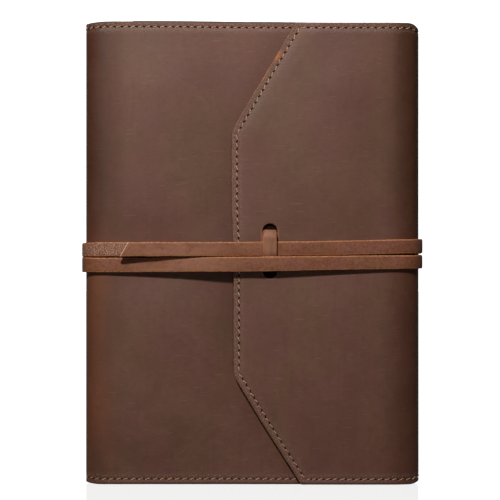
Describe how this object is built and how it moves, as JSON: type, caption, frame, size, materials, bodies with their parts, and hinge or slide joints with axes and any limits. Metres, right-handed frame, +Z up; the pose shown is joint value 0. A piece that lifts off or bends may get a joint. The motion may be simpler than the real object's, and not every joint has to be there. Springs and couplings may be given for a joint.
{
  "type": "leather notebook cover",
  "caption": "Leather notebook cover with a shaped wrap-over front flap, tied shut by a flat strap that winds round it and tucks under a keeper bar; sleeves hold a refill notebook.",
  "frame": {"origin": "middle of the bottom of the tied bundle's box, where the cover stands on its bottom edge", "axes": "+Z up along the spine, -Y towards the viewer of the front with the flap, +X towards the fore edge"},
  "size_m": [0.1658, 0.0322, 0.225],
  "materials": {
    "cover_leather": "waxed pull-up leather, matte to satin",
    "strap_leather": "oiled leather with raw light edges",
    "sleeve_leather": "matte",
    "lining_leather": "matte",
    "thread": "waxed thread",
    "refill_board": "matte",
    "pages": "matte"
  },
  "bodies": {
    "back": {"back_cover": "cover_leather", "back_sleeve": "sleeve_leather", "back_thread": "thread", "refill_back_board": "refill_board", "page_block_back": "pages", "strap_back_turns": "strap_leather"},
    "spine": {"spine_leather": "cover_leather", "spine_thread": "thread", "refill_spine": "refill_board", "strap_spine_turns": "strap_leather"},
    "front": {"front_cover": "cover_leather", "front_sleeve": "sleeve_leather", "front_thread": "thread", "refill_front_board": "refill_board"},
    "pages": {"page_block_front": "pages"},
    "fore_edge": {"fore_edge_leather": "cover_leather", "fore_edge_lining": "lining_leather", "fore_edge_thread": "thread", "strap_fore_edge_turns": "strap_leather"},
    "flap": {"flap_leather": "cover_leather", "flap_lining": "lining_leather", "flap_thread": "thread", "strap_keeper_bar": "strap_leather", "strap_first_run": "strap_leather", "strap_lower_run": "strap_leather", "strap_tail": "strap_leather"},
    "tail": {"strap_tail_end": "strap_leather"}
  },
  "joints": [
    {"name": "front_open", "type": "hinge", "parent": "spine", "child": "front", "pos_m": [-0.07866, -0.00705, 0.1125], "axis": [0, 0, -1], "range_deg": [0, 90], "deforming": ["flap_leather", "flap_lining", "flap_thread", "strap_keeper_bar", "strap_first_run", "strap_lower_run", "strap_tail", "strap_tail_end", "strap_fore_edge_turns"]},
    {"name": "spine_fold", "type": "hinge", "parent": "back", "child": "spine", "pos_m": [-0.07866, 0.00996, 0.1125], "axis": [0, 0, -1], "range_deg": [0, 90]},
    {"name": "pages_turn", "type": "hinge", "parent": "spine", "child": "pages", "pos_m": [-0.07265, -0.00105, 0.1125], "axis": [0, 0, -1], "range_deg": [0, 90]},
    {"name": "flap_open", "type": "hinge", "parent": "fore_edge", "child": "flap", "pos_m": [0.07866, -0.00966, 0.1125], "axis": [0, 0, 1], "range_deg": [0, 90]},
    {"name": "fore_edge_fold", "type": "hinge", "parent": "back", "child": "fore_edge", "pos_m": [0.07866, 0.00996, 0.1125], "axis": [0, 0, 1], "range_deg": [0, 90]},
    {"name": "tail_lift", "type": "hinge", "parent": "flap", "child": "tail", "pos_m": [0.0049, -0.0139, 0.1125], "axis": [0, 0, 1], "range_deg": [0, 80]}
  ],
  "couplings": [
    {"joint": "spine_fold", "follows": "front_open", "ratio": 1},
    {"joint": "pages_turn", "follows": "front_open", "ratio": 1},
    {"joint": "fore_edge_fold", "follows": "flap_open", "ratio": 1}
  ]
}
